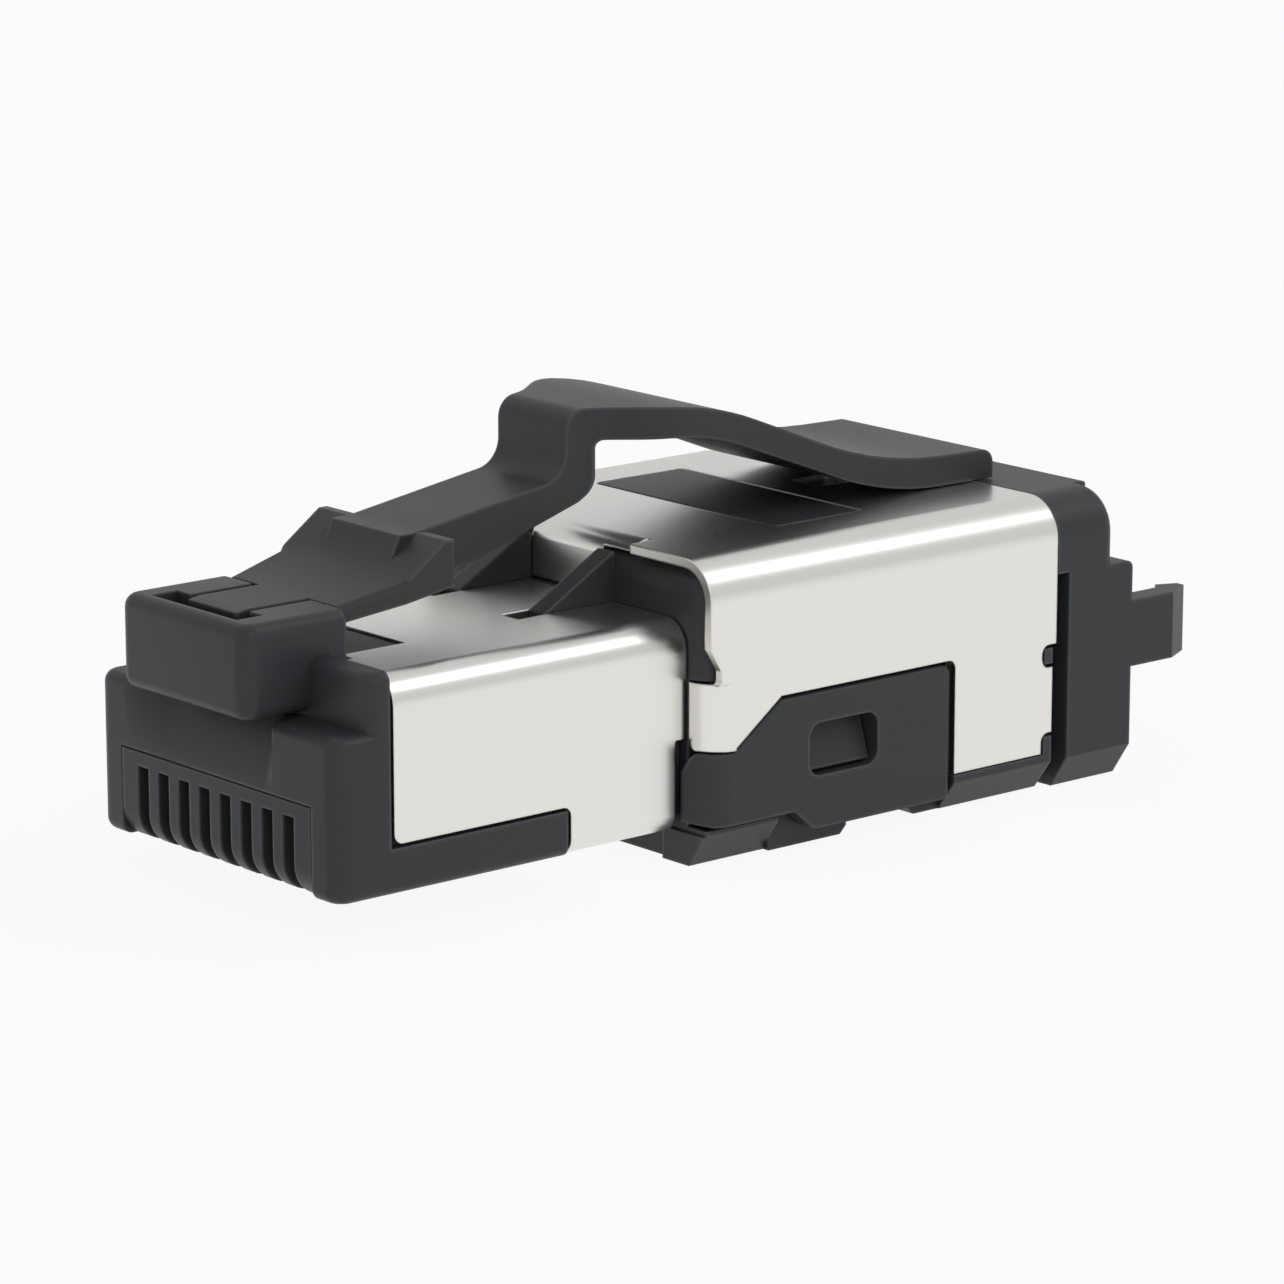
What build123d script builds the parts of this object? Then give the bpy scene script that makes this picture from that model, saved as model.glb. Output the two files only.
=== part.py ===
"""Field termination network plug with a sheet metal screen, a long latch lever and a snap cover.

The nose points to -X, the cable leaves to +X, and the latch lever is on top (+Z).
The origin is on the nose's front face, halfway up the nose. Lengths are in millimetres,
and heights are measured from the underside of the nose unless a name says otherwise.
"""
from build123d import *
import os

os.makedirs("parts", exist_ok=True)

# Sheet metal and fits
sheet = 0.3                  # thickness of both metal screens
seat = 0.05                  # clearance between pieces that seat on each other
slip = 0.12                  # visible gap round a piece let into another
wall = 0.7                   # wall of the snap cover

# Nose
nose_width = 11.68
nose_height = 6.4
nose_corner = 0.6            # rounding of the nose's upright front edges
nose_edge = 0.35             # rounding of the other front edges
collar_lip = 0.2             # how far the collar stands above the front screen
step_height = 4.87           # top of the lower part of the front
step_depth = 1.15            # how far the collar stands behind the front face
collar_rear = 1.95
skirt_height = 1.4           # plastic left bare under the screen's side
skirt_rear = 8.45

# Latch block on the nose
block_front = -1.1
block_rear = 2.5
block_width = 6.2
block_bottom = 5.0
block_rise = 1.42            # block's top above the nose
block_edge = 0.4
block_corner = 0.55          # rounding of the block's upright edges
pit_front = -0.62            # pit in the block that takes the lever's cross bar
pit_rear = 0.33
pit_width = 4.2
pit_depth = 1.92
tongue_gap = 0.3             # gap on each side of the lever's tongue

# Contacts and their carrier
contact_count = 8
contact_pitch = 1.016
contact_thickness = 0.4
slot_width = 0.54
slot_top = 2.27
slot_rear = 5.9
carrier_margin = 0.54        # carrier beside the first and last contact places
carrier_roof = 0.43          # carrier above its slots
carrier_rear = 6.4
carrier_radius = 0.9         # rounding where the ribs turn under the nose
contact_front = 0.75
crown_height = 0.62          # contact face above the nose's underside
contact_bend = 0.5
contact_strip = 0.7          # height of each contact's strip
tail_front = 5.3             # foot of each contact that reaches the board
tail_rear = 5.7

# Front screen
front_screen_rear = 13.0
side_cut_length = 0.43       # the side is shorter by this below side_cut_height
side_cut_height = 2.8
screen_top_radius = 0.9
screen_low_radius = 0.55
notch_radius = 0.3
lever_cut_rear = 4.95        # cut-out in the top round the lever's root
lever_cut_width = 5.3

# Rear screen, with lengths from its front edge
side_step = 1.16             # how far each side stands out past the nose
rear_top = 8.3
rear_corner = 1.25
rear_length = 14.2
screen_low_edge = 0.3
window_start = 4.9           # window in the top
window_length = 3.72
window_margin = 2.7          # top left on each side of the window
slot_start = 9.95            # small slot behind the window
slot_length = 1.6
slot_across = 1.5
flap_width = 3.3
lip_width = 6.1
relief_width = 0.25
flap_setback = 0.2           # flap behind the front wall of the housing
ear_low = 2.52
ear_high = 4.58
ear_radius = 1.0
ear_tip_radius = 0.25
relief_depth = 0.42
relief_high = 5.7
tab_low = 3.03               # notch in the rear edge and the step below it
tab_high = 3.76
tab_depth = 0.6
low_tab_high = 0.95
screen_overhang = 0.15       # screen's rear edge past the housing

# Main housing, with lengths from the rear screen's front edge
main_corner = 0.8
housing_wall = 0.7           # beside the chamber
housing_roof = 0.75
housing_floor = 0.78
front_wall = 1.15
foot_depth = 1.05            # how far the feet reach below the nose
foot_lean = 0.7              # how far the feet's sides lean inwards
foot_bevel = 0.25
foot_recess = 0.25           # middle of the front foot stands back by this
foot_recess_width = 9.6
foot_step_start = 2.95       # the foot is narrower behind this
foot_length = 6.1
rail_start = 8.65
rail_lift = 0.1              # rail's underside above the front foot's
lug_drop = 0.2
gusset_inner = 1.68
gusset_thickness = 0.72
gusset_reach = 2.65          # gusset's toe in front of the housing
gusset_slot_reach = 3.65     # screen's slot in front of its rear edge

# Snap cover, with lengths from its front
cover_proud = 0.23           # cover in front of the rear screen
cover_length = 9.94
cover_shoulder_start = 3.06  # where its top edge becomes level
cover_top = 3.79
cover_bottom = -0.43
cover_lift = 0.24            # lower edge in front of the deeper part
cover_lift_length = 3.58
cover_deep_start = 4.38
cover_radius = 1.0
cover_edge = 0.15            # rounding of the wings' outer edges
cover_tip_cut = 0.6          # slant at the top of each wrapped end
cover_tip_run = 0.45
opening_gap = 0.2            # gap behind the cover in the screen's opening
catch_start = 4.15           # window in each wing
catch_length = 2.78
catch_low = 1.2
catch_high = 2.84
catch_radius = 0.45
tooth_height = 0.45          # how far each catch tooth stands out
web_start = 6.38
web_length = 2.2
web_thickness = 0.5

# Rear cap
groove = 0.55                # gap behind the screen, below the step
cap_length = 2.76
cap_top_length = 2.5
cap_corner = 1.35
cap_edge = 0.45              # rounding of the top's rear edge
cap_step = 5.94
step_edge = 0.25
lip_drop = 0.33              # thickness of the small lip at the top's rear edge
lip_reach = 0.19
ledge_width = 10.8
ledge_edge = 0.12
arm_length = 2.83
arm_low = 2.5
arm_high = 4.64
arm_thickness = 0.8
arm_taper_length = 0.98      # outer side of each arm leans in over this length
arm_taper = 0.5
hook_start = 0.99            # barb's front, measured from the arm's end
hook_reach = 0.31
collar_reach = 0.65          # cap's collar inside the housing
cable_height = 3.6           # height of the cable's axis
cable_hole = 3.95
cable_bore = 3.2             # bore of the sealing ring
seal_setback = 0.25          # sealing ring behind the cap's front
ring_length = 1.45
pair_hole = 2.65             # narrower hole in front of the jacket
braid_wall = 0.25

# Latch lever
bar_front = -0.5             # cross bar at the end of the tongue
bar_rear = 0.2
bar_width = 3.9
bar_height = 0.95
tongue_width = 2.3
tongue_front = 0.05
tongue_bevel_length = 0.38
tongue_bevel = 0.06
tongue_leg = 0.5             # thickness of the tongue's end where it turns down
root_thickness = 0.5
root_width_front = 5.4
root_edge = 0.25
root_rise = 0.45             # root at the wings above the root at the block
wing_width = 6.1
wing_front = 4.74
wing_crest = 6.2
wing_rear = 6.5
wing_height = 1.5            # wings' top above the block
wing_lift = 0.1              # underside behind the wings above the block
ramp_front = 4.95
ramp_crest = 5.6
lever_width = 3.22
arm_bend = 8.2               # bend in the underside behind the wings
arm_bend_rise = 0.28
leg_gap = 0.36               # between the lever's leg and the flap
leg_thickness = 0.99
leg_low_rise = 1.24          # leg's lowest corner above the rear screen
leg_corner_rise = 1.9
arch_rise = 3.9              # arch's top above the rear screen
arch_thickness = 0.98
arch_length = 3.19           # level part behind the leg
flare_start = 0.6            # behind the leg's front face
flare_length = 2.7
pad_width_front = 6.2
pad_width = 6.6
tail_reach = 0.72            # lever's end behind the rear screen
tail_length = 4.72           # thumb pad's level part
tail_foot_length = 4.37
pad_thickness = 1.02
pad_fall = 0.1
leg_low_radius = 0.85
leg_inner_radius = 0.25
leg_top_radius = 0.65
leg_corner_radius = 0.9
arch_radius = 10.8           # large bends of the arm, above and below
arch_under_radius = 8
pad_radius = 14
pad_under_radius = 12
tail_radius = 0.45

# Termination parts inside
board_lift = 0.3             # board above the contact carrier
board_thickness = 0.8
board_front = 4.6
board_reach = 4.0            # length of the board in the chamber
board_margin = 0.6
block_length = 4.8
row_offset = 1.7             # wire rows above and below the middle of the board
terminal_columns = 4         # terminals side by side in each row
terminal_pitch = 2.6
terminal_thickness = 0.4
terminal_width = 1.5
terminal_overlap = 1.0       # length of each terminal's foot on the board
fork_reach = 2.15            # fork's end behind the terminal block
fork_slot = 0.3
fork_depth = 1.6
wire_radius = 0.5
wire_setback = 0.7           # each wire crosses its fork this far from the end
pocket_length = 3.5          # pocket for the pair divider
pocket_margin = 0.6
pocket_wall = 1.0
divider_thickness = 0.5

# Values that follow from the ones above
inset = sheet + seat
bend_radius = 2 * sheet
underside = -nose_height / 2
shoulder_height = nose_height + collar_lip
screen_start = collar_rear + slip
block_top = nose_height + block_rise
pit_floor = block_top - pit_depth
carrier_width = contact_count * contact_pitch + 2 * carrier_margin
carrier_top = slot_top + carrier_roof
contact_places = [(i - (contact_count - 1) / 2) * contact_pitch for i in range(contact_count)]

rear_width = nose_width + 2 * side_step
rear_front = front_screen_rear - seat
rear_end = rear_front + rear_length
rear_inner_width = rear_width - 2 * inset
rear_inner_top = rear_top - inset
window_front = rear_front + window_start
window_rear = window_front + window_length
window_width = rear_width - 2 * window_margin
slot_front = rear_front + slot_start
slot_end = slot_front + slot_length

main_front = front_screen_rear + seat
main_rear = rear_end - screen_overhang
flap_x = main_front + flap_setback
flap_foot = nose_height + seat
lip_foot = rear_inner_top
setback_top = ear_high + seat
gusset_middle = gusset_inner + gusset_thickness / 2
gusset_front = main_front - gusset_reach
gusset_foot = nose_height - sheet
gusset_top = lip_foot - seat

cover_front = rear_front - cover_proud
cover_rear = cover_front + cover_length
cover_inner = rear_width / 2 - wall
cover_tip = nose_width / 2 + slip / 2
cover_knee = rear_front + ear_radius - seat
cover_shoulder = cover_front + cover_shoulder_start
cover_step = ear_low - seat
cover_lift_end = cover_front + cover_lift_length
cover_deep = cover_front + cover_deep_start
catch_front = cover_front + catch_start
catch_rear = catch_front + catch_length
web_front = cover_front + web_start
body_low = cover_bottom + web_thickness + seat
corner_back = cover_front + wall + seat
foot_width = rear_width - 2 * sheet
foot_step = rear_front + foot_step_start
foot_rear = rear_front + foot_length
rail_front = rear_front + rail_start
rail_step = cover_rear + opening_gap
rail_depth = foot_depth - rail_lift

chamber_front = main_front + front_wall
chamber_width = 2 * (cover_inner - housing_wall)
chamber_low = body_low + housing_floor
chamber_high = rear_inner_top - housing_roof
board_width = chamber_width - 2 * board_margin
board_low = carrier_top + board_lift
board_high = board_low + board_thickness
board_middle = board_low + board_thickness / 2
board_rear = chamber_front + board_reach
block_start = chamber_front + seat
block_end = block_start + block_length
terminal_leg = board_rear - terminal_overlap
terminal_rear = block_end + fork_reach
terminal_places = [
    (column - (terminal_columns - 1) / 2, row) for row in (1, -1) for column in range(terminal_columns)
]
collar_front = main_rear - collar_reach
organiser_front = block_end + slip
organiser_rear = collar_front - seat
wire_cross = terminal_rear - wire_setback
pocket_front = organiser_rear - pocket_length
pocket_width = chamber_width - 2 * pocket_wall
pocket_low = chamber_low + pocket_margin
pocket_high = chamber_high - pocket_margin

cap_front = rear_end + groove
cap_rear = cap_front + cap_length
cap_top_front = rear_end + seat
cap_top_rear = cap_top_front + cap_top_length
seal_front = cap_front + seal_setback
arm_rear = cap_rear + arm_length

bar_low = pit_floor + slip
root_front = block_rear + slip
wing_top = block_top + wing_height
wing_low = block_top + wing_lift
leg_rear = flap_x - leg_gap
leg_front = leg_rear - leg_thickness
arch_top = rear_top + arch_rise
arch_under = arch_top - arch_thickness
arch_rear = leg_rear + arch_length
flare_front = leg_front + flare_start
flare_rear = flare_front + flare_length
lever_rear = rear_end + tail_reach
tail_foot = rear_top + seat
pad_top = tail_foot + pad_thickness


def side_plane(y=0.0):
    """A plane that faces -Y: its x is the model's X, its y is the height above the nose's underside."""
    return Plane(origin=(0, y, underside), x_dir=(1, 0, 0), z_dir=(0, -1, 0))


def end_plane(x=0.0):
    """A plane that faces +X: its x is the model's Y, its y is the height above the nose's underside."""
    return Plane(origin=(x, 0, underside), x_dir=(0, 1, 0), z_dir=(1, 0, 0))


def plan_plane(height=0.0):
    """A level plane at a height above the nose's underside."""
    return Plane(origin=(0, 0, underside + height), x_dir=(1, 0, 0), z_dir=(0, 0, 1))


def span_box(x0, x1, width, low, high, y=0.0, mode=Mode.ADD):
    """A box from x0 to x1 and from one height to another, centred on y."""
    with BuildSketch(plan_plane(low)) as footprint:
        with Locations(((x0 + x1) / 2, y)):
            Rectangle(x1 - x0, width)
    extrude(footprint.sketch, amount=high - low, mode=mode)


def tube_section(x, width, low, high, top_radius, low_radius=0.0):
    """A section across the plug with its own rounding at the top and at the bottom."""
    with BuildSketch(end_plane(x)) as section:
        with Locations((0, (low + high) / 2)):
            Rectangle(width, high - low)
        fillet(section.vertices().group_by(Axis.Y)[-1], top_radius)
        if low_radius > 0:
            fillet(section.vertices().group_by(Axis.Y)[0], low_radius)
    return section.sketch


def foot_section(x, width, high, lean=0.0, depth=foot_depth):
    """A section with upright sides that lean inwards below the nose, down to the depth given."""
    with BuildSketch(end_plane(x)) as section:
        with BuildLine():
            Polyline(
                (-width / 2, high),
                (-width / 2, 0),
                (-width / 2 + lean, -depth),
                (width / 2 - lean, -depth),
                (width / 2, 0),
                (width / 2, high),
                close=True,
            )
        make_face()
    return section.sketch


def hole_along(x0, x1, radius, y, height, mode=Mode.SUBTRACT):
    """A round hole, or a rod, along X."""
    with BuildSketch(end_plane(x0)) as circle:
        with Locations((y, height)):
            Circle(radius)
    extrude(circle.sketch, amount=x1 - x0, mode=mode)


def save(part, name):
    """Label a finished piece and write it."""
    part.label = name
    export_step(part, f"parts/{name}.step")


# Nose housing: the moulded front of the plug with the latch block on top
with BuildPart() as nose_housing:
    with BuildSketch(side_plane()):
        with BuildLine():
            Polyline(
                (0, 0),
                (0, step_height),
                (step_depth, step_height),
                (step_depth, shoulder_height),
                (collar_rear, shoulder_height),
                (collar_rear, 0),
                close=True,
            )
        make_face()
    extrude(amount=nose_width / 2, both=True)
    front_edges = nose_housing.edges().filter_by(Axis.Z).group_by(Axis.X)[:2]
    fillet(front_edges[0] + front_edges[1], nose_corner)
    for height in (shoulder_height, step_height):
        level_edges = nose_housing.edges().filter_by(
            lambda e: e.center().X < collar_rear - 0.01
            and abs(e.center().Z - underside - height) < 0.01
        )
        if height == step_height:
            level_edges = level_edges.filter_by(lambda e: e.center().X < nose_corner)
        fillet(level_edges, nose_edge)
    # core under the screen, and the bare skirt below it
    core = tube_section(
        collar_rear,
        nose_width - 2 * inset,
        inset,
        nose_height - inset,
        screen_top_radius - inset,
        screen_low_radius - inset,
    )
    extrude(core, amount=front_screen_rear - collar_rear)
    span_box(collar_rear, skirt_rear, nose_width, 0, skirt_height)
    low_edges = nose_housing.edges().filter_by(
        lambda e: abs(e.center().Z - underside) < 0.01 and e.center().X < skirt_rear - 0.01
    )
    fillet(low_edges, nose_edge)
    # latch block, overhanging the front
    span_box(block_front, block_rear, block_width, block_bottom, block_top)
    block_corners = nose_housing.edges().filter_by(Axis.Z).group_by(Axis.X)[0]
    fillet(block_corners, block_corner)
    block_edges = nose_housing.edges().filter_by(
        lambda e: e.center().X < block_rear - 0.01
        and e.center().Z > underside + block_bottom - 0.01
        and (
            abs(e.center().X - block_front) < 0.01
            or abs(e.center().Z - underside - block_top) < 0.01
        )
    )
    fillet(block_edges, block_edge)
    # the plastic fills the screen's cut-out round the lever's root
    span_box(
        collar_rear,
        lever_cut_rear - slip,
        lever_cut_width - 2 * slip,
        nose_height - 2 * inset,
        nose_height - seat,
    )
    # pit and channel for the lever's root
    span_box(pit_front, pit_rear, pit_width, pit_floor, block_top, mode=Mode.SUBTRACT)
    span_box(pit_rear, block_rear, tongue_width + 2 * tongue_gap, pit_floor, block_top, mode=Mode.SUBTRACT)
    # room for the contact carrier, the contacts' feet and the board
    span_box(0, carrier_rear + seat, carrier_width + 2 * seat, 0, carrier_top + seat, mode=Mode.SUBTRACT)
    span_box(tail_front - slip, tail_rear + slip, carrier_width, carrier_top, board_low, mode=Mode.SUBTRACT)
    span_box(
        board_front - seat,
        front_screen_rear,
        board_width + 2 * seat,
        board_low - seat,
        board_high + seat,
        mode=Mode.SUBTRACT,
    )
save(nose_housing.part, "nose_housing")

# Contact carrier: the insert with eight slots across the front and the underside
with BuildPart() as contact_carrier:
    span_box(0, carrier_rear, carrier_width, 0, carrier_top)
    front_foot_edge = contact_carrier.edges().filter_by(Axis.Y).group_by(Axis.X)[0].sort_by(Axis.Z)[0]
    fillet(front_foot_edge, carrier_radius)
    for y in contact_places:
        span_box(0, slot_rear, slot_width, 0, slot_top, y=y, mode=Mode.SUBTRACT)
        span_box(tail_front - seat, tail_rear + seat, slot_width, slot_top, carrier_top, y=y, mode=Mode.SUBTRACT)
save(contact_carrier.part, "contact_carrier")

# Eight stamped contacts, one in each slot
for number, y in enumerate(contact_places, start=1):
    with BuildPart() as contact:
        with BuildSketch(side_plane(y)) as blade:
            with BuildLine():
                Polyline(
                    (contact_front, slot_top),
                    (contact_front, crown_height),
                    (contact_front + 2 * contact_strip, crown_height),
                    (contact_front + 3 * contact_strip, slot_top - contact_strip),
                    (tail_rear, slot_top - contact_strip),
                    (tail_rear, board_low),
                    (tail_front, board_low),
                    (tail_front, slot_top),
                    close=True,
                )
            make_face()
            fillet(blade.vertices().group_by(Axis.X)[0].sort_by(Axis.Y)[0], contact_bend)
        extrude(amount=contact_thickness / 2, both=True)
    save(contact.part, f"contact_{number}")

# Front screen: one folded sheet round the nose
with BuildPart() as front_screen:
    outside = tube_section(screen_start, nose_width, 0, nose_height, screen_top_radius, screen_low_radius)
    inside = tube_section(
        screen_start,
        nose_width - 2 * sheet,
        sheet,
        nose_height - sheet,
        screen_top_radius - sheet,
        screen_low_radius - sheet,
    )
    extrude(outside, amount=front_screen_rear - screen_start)
    extrude(inside, amount=front_screen_rear - screen_start, mode=Mode.SUBTRACT)
    # the plastic skirt shows below the front of each side
    with BuildSketch(side_plane()) as skirt_notch:
        with Locations(((collar_rear + skirt_rear + slip) / 2, 0)):
            Rectangle(skirt_rear + slip - collar_rear, 2 * (skirt_height + slip))
        fillet(skirt_notch.vertices().group_by(Axis.X)[-1].sort_by(Axis.Y)[-1], notch_radius)
    extrude(amount=nose_width, both=True, mode=Mode.SUBTRACT)
    front_corners = front_screen.edges().filter_by(Axis.Y).filter_by(
        lambda e: abs(e.center().X - screen_start) < 0.01
        and abs(e.center().Z - underside - skirt_height - slip) < 0.01
    )
    fillet(front_corners, notch_radius)
    # the side's rear ends earlier low down
    span_box(
        front_screen_rear - side_cut_length,
        front_screen_rear,
        nose_width,
        -sheet,
        side_cut_height,
        mode=Mode.SUBTRACT,
    )
    # cut-out round the latch block and the lever's root, and two slots for the gussets
    top_cut = nose_height - 2 * sheet
    span_box(screen_start, block_rear + slip, block_width + 2 * slip, top_cut, nose_height, mode=Mode.SUBTRACT)
    span_box(screen_start, lever_cut_rear, lever_cut_width, top_cut, nose_height, mode=Mode.SUBTRACT)
    for side in (-1, 1):
        span_box(
            front_screen_rear - gusset_slot_reach,
            front_screen_rear,
            gusset_thickness + 2 * seat,
            top_cut,
            nose_height,
            y=side * gusset_middle,
            mode=Mode.SUBTRACT,
        )
save(front_screen.part, "front_screen")

# Rear screen: one folded sheet over the rear body
with BuildPart() as rear_screen:
    shell_outside = tube_section(rear_front, rear_width, screen_low_edge, rear_top, rear_corner)
    shell_inside = tube_section(
        rear_front, rear_width - 2 * sheet, screen_low_edge, rear_top - sheet, rear_corner - sheet
    )
    extrude(shell_outside, amount=rear_length)
    extrude(shell_inside, amount=rear_length, mode=Mode.SUBTRACT)
    # opening in both sides for the snap cover
    with BuildSketch(side_plane()) as cover_opening:
        with BuildLine():
            Polyline(
                (rear_front, screen_low_edge),
                (rear_front, ear_low),
                (cover_knee - seat, ear_low),
                (cover_shoulder - seat, cover_top + slip),
                (cover_rear + opening_gap, cover_top + slip),
                (cover_rear + opening_gap, screen_low_edge),
                close=True,
            )
        make_face()
        fillet(cover_opening.vertices().group_by(Axis.Y)[-1].sort_by(Axis.X)[-1], notch_radius)
    extrude(amount=rear_width, both=True, mode=Mode.SUBTRACT)
    # the sides start behind the ear's bend, with a small relief above each ear
    span_box(rear_front, rear_front + ear_radius, rear_width, ear_low, ear_high, mode=Mode.SUBTRACT)
    with BuildSketch(side_plane()) as relief:
        with BuildLine():
            Polyline(
                (rear_front, ear_high),
                (rear_front + relief_depth, ear_high),
                (rear_front + relief_depth, ear_high + relief_depth),
                (rear_front, relief_high),
                close=True,
            )
        make_face()
        fillet(relief.vertices().group_by(Axis.X)[-1], relief_depth / 2 - seat)
    extrude(amount=rear_width, both=True, mode=Mode.SUBTRACT)
    # ears folded round the front corners towards the front screen
    for side in (-1, 1):
        with BuildSketch(plan_plane(ear_low)):
            with BuildLine():
                outer = (rear_front + ear_radius, side * rear_width / 2)
                inner = (rear_front + ear_radius, side * (rear_width / 2 - sheet))
                tip = (rear_front, side * (rear_width / 2 - ear_radius))
                inner_tip = (rear_front + sheet, side * (rear_width / 2 - ear_radius))
                Line(outer, inner)
                RadiusArc(inner, inner_tip, -side * (ear_radius - sheet))
                Line(inner_tip, tip)
                RadiusArc(tip, outer, side * ear_radius)
            make_face()
        extrude(amount=ear_high - ear_low)
    ear_tips = rear_screen.edges().filter_by(Axis.X).filter_by(
        lambda e: abs(e.center().Z - underside - ear_low) < 0.01
        and abs(abs(e.center().Y) - rear_width / 2 + ear_radius) < 0.01
    )
    fillet(ear_tips, ear_tip_radius)
    # window and small slot in the top
    with BuildSketch(plan_plane(rear_top - sheet)):
        with Locations(((window_front + window_rear) / 2, 0)):
            RectangleRounded(window_length, window_width, notch_radius)
        with Locations(((slot_front + slot_end) / 2, 0)):
            RectangleRounded(slot_length, slot_across, notch_radius)
    extrude(amount=sheet, mode=Mode.SUBTRACT)
    # two notches in each side's rear edge, with the edge set back between them
    with BuildSketch(side_plane()):
        with Locations((rear_end, (tab_low + tab_high) / 2)):
            RectangleRounded(2 * tab_depth, tab_high - tab_low, notch_radius)
        with Locations((rear_end, screen_low_edge)):
            RectangleRounded(2 * tab_depth, 2 * (low_tab_high - screen_low_edge), notch_radius)
        with Locations((rear_end, tab_high / 2)):
            Rectangle(2 * screen_overhang, tab_high)
    extrude(amount=rear_width, both=True, mode=Mode.SUBTRACT)
    # the middle of the top folds down as a lip with a longer flap
    span_box(
        rear_front,
        flap_x + bend_radius,
        lip_width + 2 * relief_width,
        rear_top - sheet,
        rear_top,
        mode=Mode.SUBTRACT,
    )
    with BuildSketch(side_plane()):
        with BuildLine():
            bend_x = flap_x + bend_radius
            bend_z = rear_top - bend_radius
            RadiusArc((flap_x, bend_z), (bend_x, rear_top), bend_radius)
            Line((bend_x, rear_top), (bend_x, rear_top - sheet))
            RadiusArc((bend_x, rear_top - sheet), (flap_x + sheet, bend_z), sheet - bend_radius)
            Polyline(
                (flap_x + sheet, bend_z), (flap_x + sheet, flap_foot), (flap_x, flap_foot), (flap_x, bend_z)
            )
        make_face()
    extrude(amount=lip_width / 2, both=True)
    for side in (-1, 1):
        span_box(
            flap_x,
            flap_x + bend_radius,
            (lip_width - flap_width) / 2,
            flap_foot,
            lip_foot,
            y=side * (lip_width + flap_width) / 4,
            mode=Mode.SUBTRACT,
        )
save(rear_screen.part, "rear_screen")

# Feet under the main housing: a front foot with a recessed middle, and a rear rail
with BuildPart() as feet:
    body_width = 2 * (cover_inner - seat)
    extrude(foot_section(rear_front, foot_width, body_low, foot_lean), amount=foot_step - rear_front)
    extrude(foot_section(foot_step, body_width, body_low), amount=foot_rear - foot_step)
    span_box(
        rear_front, rear_front + foot_recess, foot_recess_width, -foot_depth, body_low, mode=Mode.SUBTRACT
    )
    # the front wall stays clear of the front screen
    span_box(rear_front, main_front, foot_width, -seat, body_low, mode=Mode.SUBTRACT)
    narrow_rail = foot_section(rail_front, body_width, body_low, depth=rail_depth)
    extrude(narrow_rail, amount=rail_step - rail_front)
    wide_rail = foot_section(rail_step, rear_width, screen_low_edge - seat, foot_lean, rail_depth)
    extrude(wide_rail, amount=main_rear - rail_step)
    # bevelled ends
    for x0, toward, depth in ((foot_rear, -1, foot_depth), (rail_front, 1, rail_depth)):
        with BuildSketch(side_plane()):
            with BuildLine():
                Polyline(
                    (x0, -depth),
                    (x0, -depth + foot_bevel),
                    (x0 + toward * foot_bevel, -depth),
                    close=True,
                )
            make_face()
        extrude(amount=rear_width, both=True, mode=Mode.SUBTRACT)

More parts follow.
